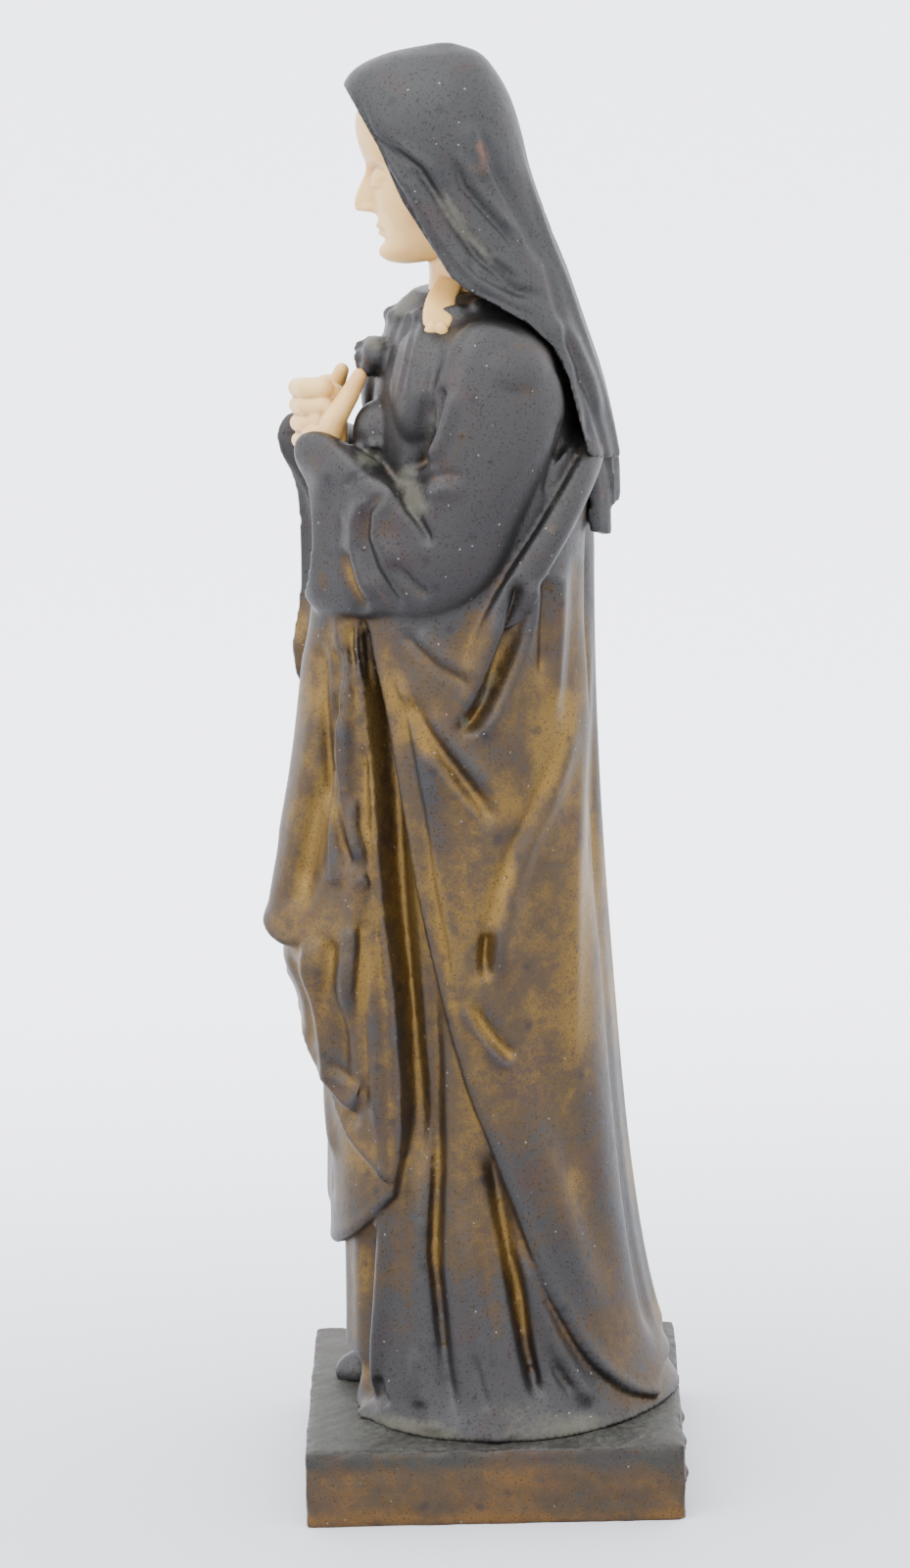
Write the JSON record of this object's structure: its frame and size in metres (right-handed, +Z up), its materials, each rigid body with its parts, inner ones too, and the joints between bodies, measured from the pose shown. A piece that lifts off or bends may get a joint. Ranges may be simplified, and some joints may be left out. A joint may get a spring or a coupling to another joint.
{
  "type": "figurine",
  "caption": "Praying girl figurine in a bronze dress, mantle and veil with an ivory head and clasped hands, on a square bronze plinth.",
  "frame": {"origin": "centre of the plinth's underside", "axes": "+Z up from the plinth to the crown of the veil, +X to the figure's left, -Y the way the figure faces"},
  "size_m": [0.078, 0.0845, 0.3],
  "materials": {
    "plinth_bronze": "dark mottled bronze patina with a grey-green bloom",
    "gilt_bronze": "worn gilding over dark bronze, satin",
    "dark_bronze": "dark slate-brown bronze patina, satin",
    "ivory": "aged ivory, soft sheen"
  },
  "bodies": {
    "root": {"plinth": "plinth_bronze", "robed_figure": "gilt_bronze", "veil": "dark_bronze", "head_and_neck": "ivory", "clasped_hands": "ivory"}
  },
  "joints": []
}
